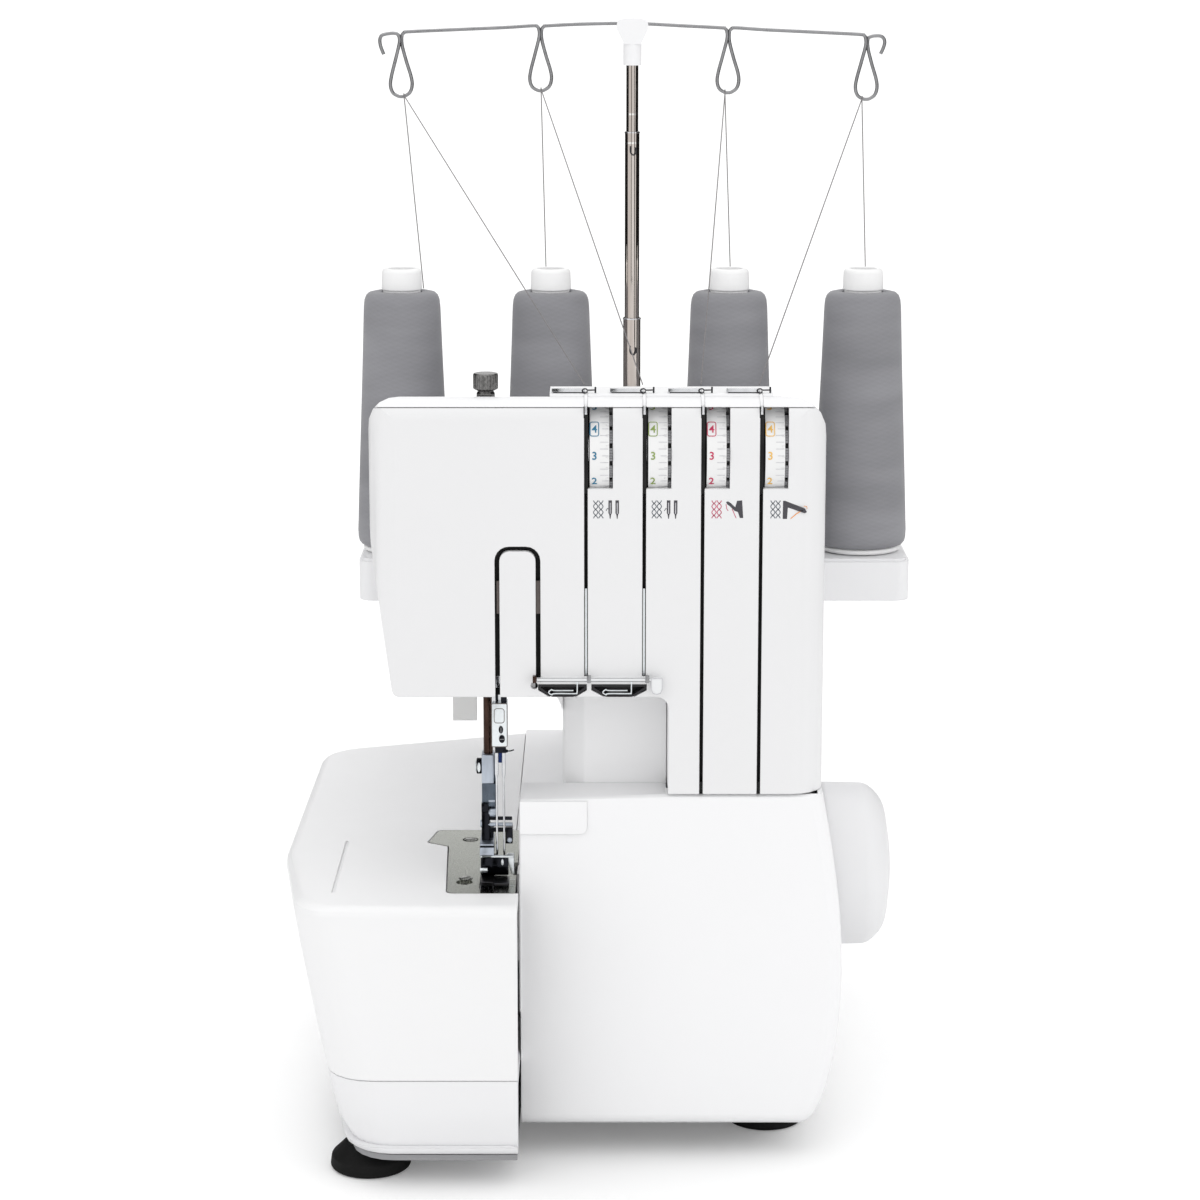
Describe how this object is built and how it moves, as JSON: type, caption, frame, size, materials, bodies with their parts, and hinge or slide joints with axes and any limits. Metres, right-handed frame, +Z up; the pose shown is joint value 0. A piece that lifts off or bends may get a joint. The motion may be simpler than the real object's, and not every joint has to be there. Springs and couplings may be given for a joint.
{
  "type": "serger overlock sewing machine",
  "caption": "Household overlock sewing machine with needle bar, presser foot, loopers, tension dials, hinged front cover, handwheel and a spool stand with a telescopic mast.",
  "frame": {"origin": "middle of the machine's footprint on the surface it stands on", "axes": "+X towards the handwheel, +Y towards the rear with the spool stand, +Z up; the front with the looper cover faces -Y"},
  "size_m": [0.2871, 0.2883, 0.4785],
  "materials": {
    "rubber_black": "matte",
    "plastic_grey": "matte",
    "shell_white": "satin",
    "arm_white": "satin",
    "table_white": "satin",
    "cast_frame": "cast",
    "plate_steel": "brushed",
    "bright_steel": "polished",
    "knob_white": "satin",
    "bronze": "machined",
    "motor_steel": "satin",
    "belt_black": "matte",
    "dark_steel": "blued",
    "presser_dark": "polished",
    "foot_steel": "polished",
    "chrome": "polished",
    "lever_grey": "satin",
    "knife_steel": "ground",
    "dial_white": "satin",
    "plastic_white": "satin",
    "cup_black": "gloss",
    "switch_black": "matte",
    "core_white": "satin",
    "cone_thread": "wound thread",
    "mast_steel": "polished",
    "wire_steel": "polished",
    "thread_grey": "thread"
  },
  "bodies": {
    "machine": {"rubber_feet": "rubber_black", "bottom_plate": "plastic_grey", "base_housing": "shell_white", "lower_housing": "shell_white", "rear_housing": "shell_white", "front_panel": "shell_white", "top_cover": "shell_white", "face_plate": "shell_white", "column_panel": "shell_white", "main_frame": "cast_frame", "free_arm": "arm_white", "needle_plate": "plate_steel", "plate_screws": "bright_steel", "shaft_bushes": "bronze", "motor": "motor_steel", "drive_belt": "belt_black", "presser_spring": "bright_steel", "lower_knife": "knife_steel", "tension_bracket": "bright_steel", "tension_discs": "chrome", "thread_guides": "chrome", "needle_thread_guide": "plastic_white", "scoop_cups": "cup_black", "inlet_socket": "switch_black", "spool_stand": "shell_white", "spool_pins": "plastic_white", "cone_cores": "core_white", "thread_cones": "cone_thread", "mast_lower": "mast_steel", "threads": "thread_grey"},
    "handwheel_shaft": {"handwheel": "knob_white", "main_shaft": "bright_steel"},
    "motor_rotor": {"motor_pulley": "bright_steel"},
    "needle_assembly": {"needle_bar": "bright_steel", "needle_clamp": "bright_steel", "clamp_screws": "dark_steel", "needles": "bright_steel"},
    "needle_rocker": {"needle_rocker": "dark_steel"},
    "presser_assembly": {"presser_bar": "presser_dark", "presser_foot": "foot_steel", "foot_screw": "bright_steel"},
    "lifter": {"lifter_lever": "lever_grey"},
    "pressure_screw": {"pressure_screw": "chrome"},
    "lower_looper": {"lower_looper": "bright_steel"},
    "upper_looper": {"upper_looper": "bright_steel"},
    "feed_dog": {"feed_dog": "bright_steel"},
    "upper_knife": {"upper_knife": "knife_steel"},
    "cover_slider": {"cover_hinge_rod": "bright_steel"},
    "front_cover": {"front_cover": "shell_white"},
    "extension_table": {"extension_table": "table_white"},
    "tension_dial_1": {"tension_dial_1": "dial_white"},
    "tension_dial_2": {"tension_dial_2": "dial_white"},
    "tension_dial_3": {"tension_dial_3": "dial_white"},
    "tension_dial_4": {"tension_dial_4": "dial_white"},
    "stitch_length_dial": {"stitch_length_dial": "knob_white"},
    "feed_dial": {"feed_dial": "knob_white"},
    "power_switch": {"power_switch": "switch_black"},
    "mast_top": {"mast_upper": "mast_steel", "guide_wire": "wire_steel"},
    "mast_middle": {"mast_middle": "mast_steel"}
  },
  "joints": [
    {"name": "handwheel_turn", "type": "hinge", "parent": "machine", "child": "handwheel_shaft", "pos_m": [0, -0.045, 0.1113], "axis": [1, 0, 0], "continuous": true},
    {"name": "motor_turn", "type": "hinge", "parent": "machine", "child": "motor_rotor", "pos_m": [0, 0.095, 0.06], "axis": [1, 0, 0], "continuous": true},
    {"name": "needle_rocker_swing", "type": "hinge", "parent": "machine", "child": "needle_rocker", "pos_m": [0, -0.052, 0.262], "axis": [1, 0, 0], "range_deg": [0, 31.2]},
    {"name": "needle_bar_travel", "type": "slide", "parent": "machine", "child": "needle_assembly", "axis": [0, 0, 1], "range_m": [-0.028, 0]},
    {"name": "lifter_raise", "type": "hinge", "parent": "machine", "child": "lifter", "pos_m": [-0.0695, 0.02, 0.218], "axis": [1, 0, 0], "range_deg": [0, 55]},
    {"name": "presser_foot_lift", "type": "slide", "parent": "machine", "child": "presser_assembly", "axis": [0, 0, 1], "range_m": [0, 0.006], "deforming": ["presser_spring"]},
    {"name": "pressure_screw_turn", "type": "hinge", "parent": "machine", "child": "pressure_screw", "pos_m": [-0.0545, -0.094, 0.32], "axis": [0, 0, 1], "range_deg": [-360, 360]},
    {"name": "lower_looper_swing", "type": "hinge", "parent": "machine", "child": "lower_looper", "pos_m": [-0.034, -0.09, 0.058], "axis": [0, -1, 0], "range_deg": [0, 20]},
    {"name": "upper_looper_swing", "type": "hinge", "parent": "machine", "child": "upper_looper", "pos_m": [-0.008, -0.09, 0.062], "axis": [0, -1, 0], "range_deg": [0, 15.5]},
    {"name": "feed_travel", "type": "slide", "parent": "machine", "child": "feed_dog", "axis": [0, 1, 0], "range_m": [-0.002, 0.002]},
    {"name": "upper_knife_stroke", "type": "slide", "parent": "machine", "child": "upper_knife", "axis": [0, 0, 1], "range_m": [-0.01, 0]},
    {"name": "cover_slide", "type": "slide", "parent": "machine", "child": "cover_slider", "axis": [1, 0, 0], "range_m": [0, 0.005]},
    {"name": "cover_open", "type": "hinge", "parent": "cover_slider", "child": "front_cover", "pos_m": [0.02, -0.102, 0.017], "axis": [1, 0, 0], "range_deg": [0, 85]},
    {"name": "extension_table_slide", "type": "slide", "parent": "machine", "child": "extension_table", "axis": [-1, 0, 0], "range_m": [0, 0.06]},
    {"name": "tension_dial_1_turn", "type": "hinge", "parent": "machine", "child": "tension_dial_1", "pos_m": [-0.0078, -0.091, 0.3055], "axis": [1, 0, 0], "range_deg": [-140, 140]},
    {"name": "tension_dial_2_turn", "type": "hinge", "parent": "machine", "child": "tension_dial_2", "pos_m": [0.0163, -0.091, 0.3055], "axis": [1, 0, 0], "range_deg": [-140, 140]},
    {"name": "tension_dial_3_turn", "type": "hinge", "parent": "machine", "child": "tension_dial_3", "pos_m": [0.0404, -0.091, 0.3055], "axis": [1, 0, 0], "range_deg": [-140, 140]},
    {"name": "tension_dial_4_turn", "type": "hinge", "parent": "machine", "child": "tension_dial_4", "pos_m": [0.0645, -0.091, 0.3055], "axis": [1, 0, 0], "range_deg": [-140, 140]},
    {"name": "stitch_length_turn", "type": "hinge", "parent": "machine", "child": "stitch_length_dial", "pos_m": [0.095, 0.02, 0.1], "axis": [1, 0, 0], "range_deg": [-120, 120]},
    {"name": "feed_dial_turn", "type": "hinge", "parent": "machine", "child": "feed_dial", "pos_m": [0.095, 0.062, 0.1], "axis": [1, 0, 0], "range_deg": [-120, 120]},
    {"name": "power_switch_rock", "type": "hinge", "parent": "machine", "child": "power_switch", "pos_m": [0.0895, 0.1, 0.06], "axis": [0, 1, 0], "range_deg": [0, 12]},
    {"name": "mast_lower_top", "type": "slide", "parent": "machine", "child": "mast_top", "axis": [0, 0, 1], "range_m": [-0.062, 0], "deforming": ["threads"]},
    {"name": "mast_lower_middle", "type": "slide", "parent": "machine", "child": "mast_middle", "axis": [0, 0, 1], "range_m": [-0.031, 0]}
  ],
  "couplings": [
    {"joint": "motor_turn", "follows": "handwheel_turn", "ratio": 5},
    {"joint": "needle_bar_travel", "follows": "needle_rocker_swing", "m_per_rad": -0.0514},
    {"joint": "mast_lower_middle", "follows": "mast_lower_top", "ratio": 0.5}
  ]
}
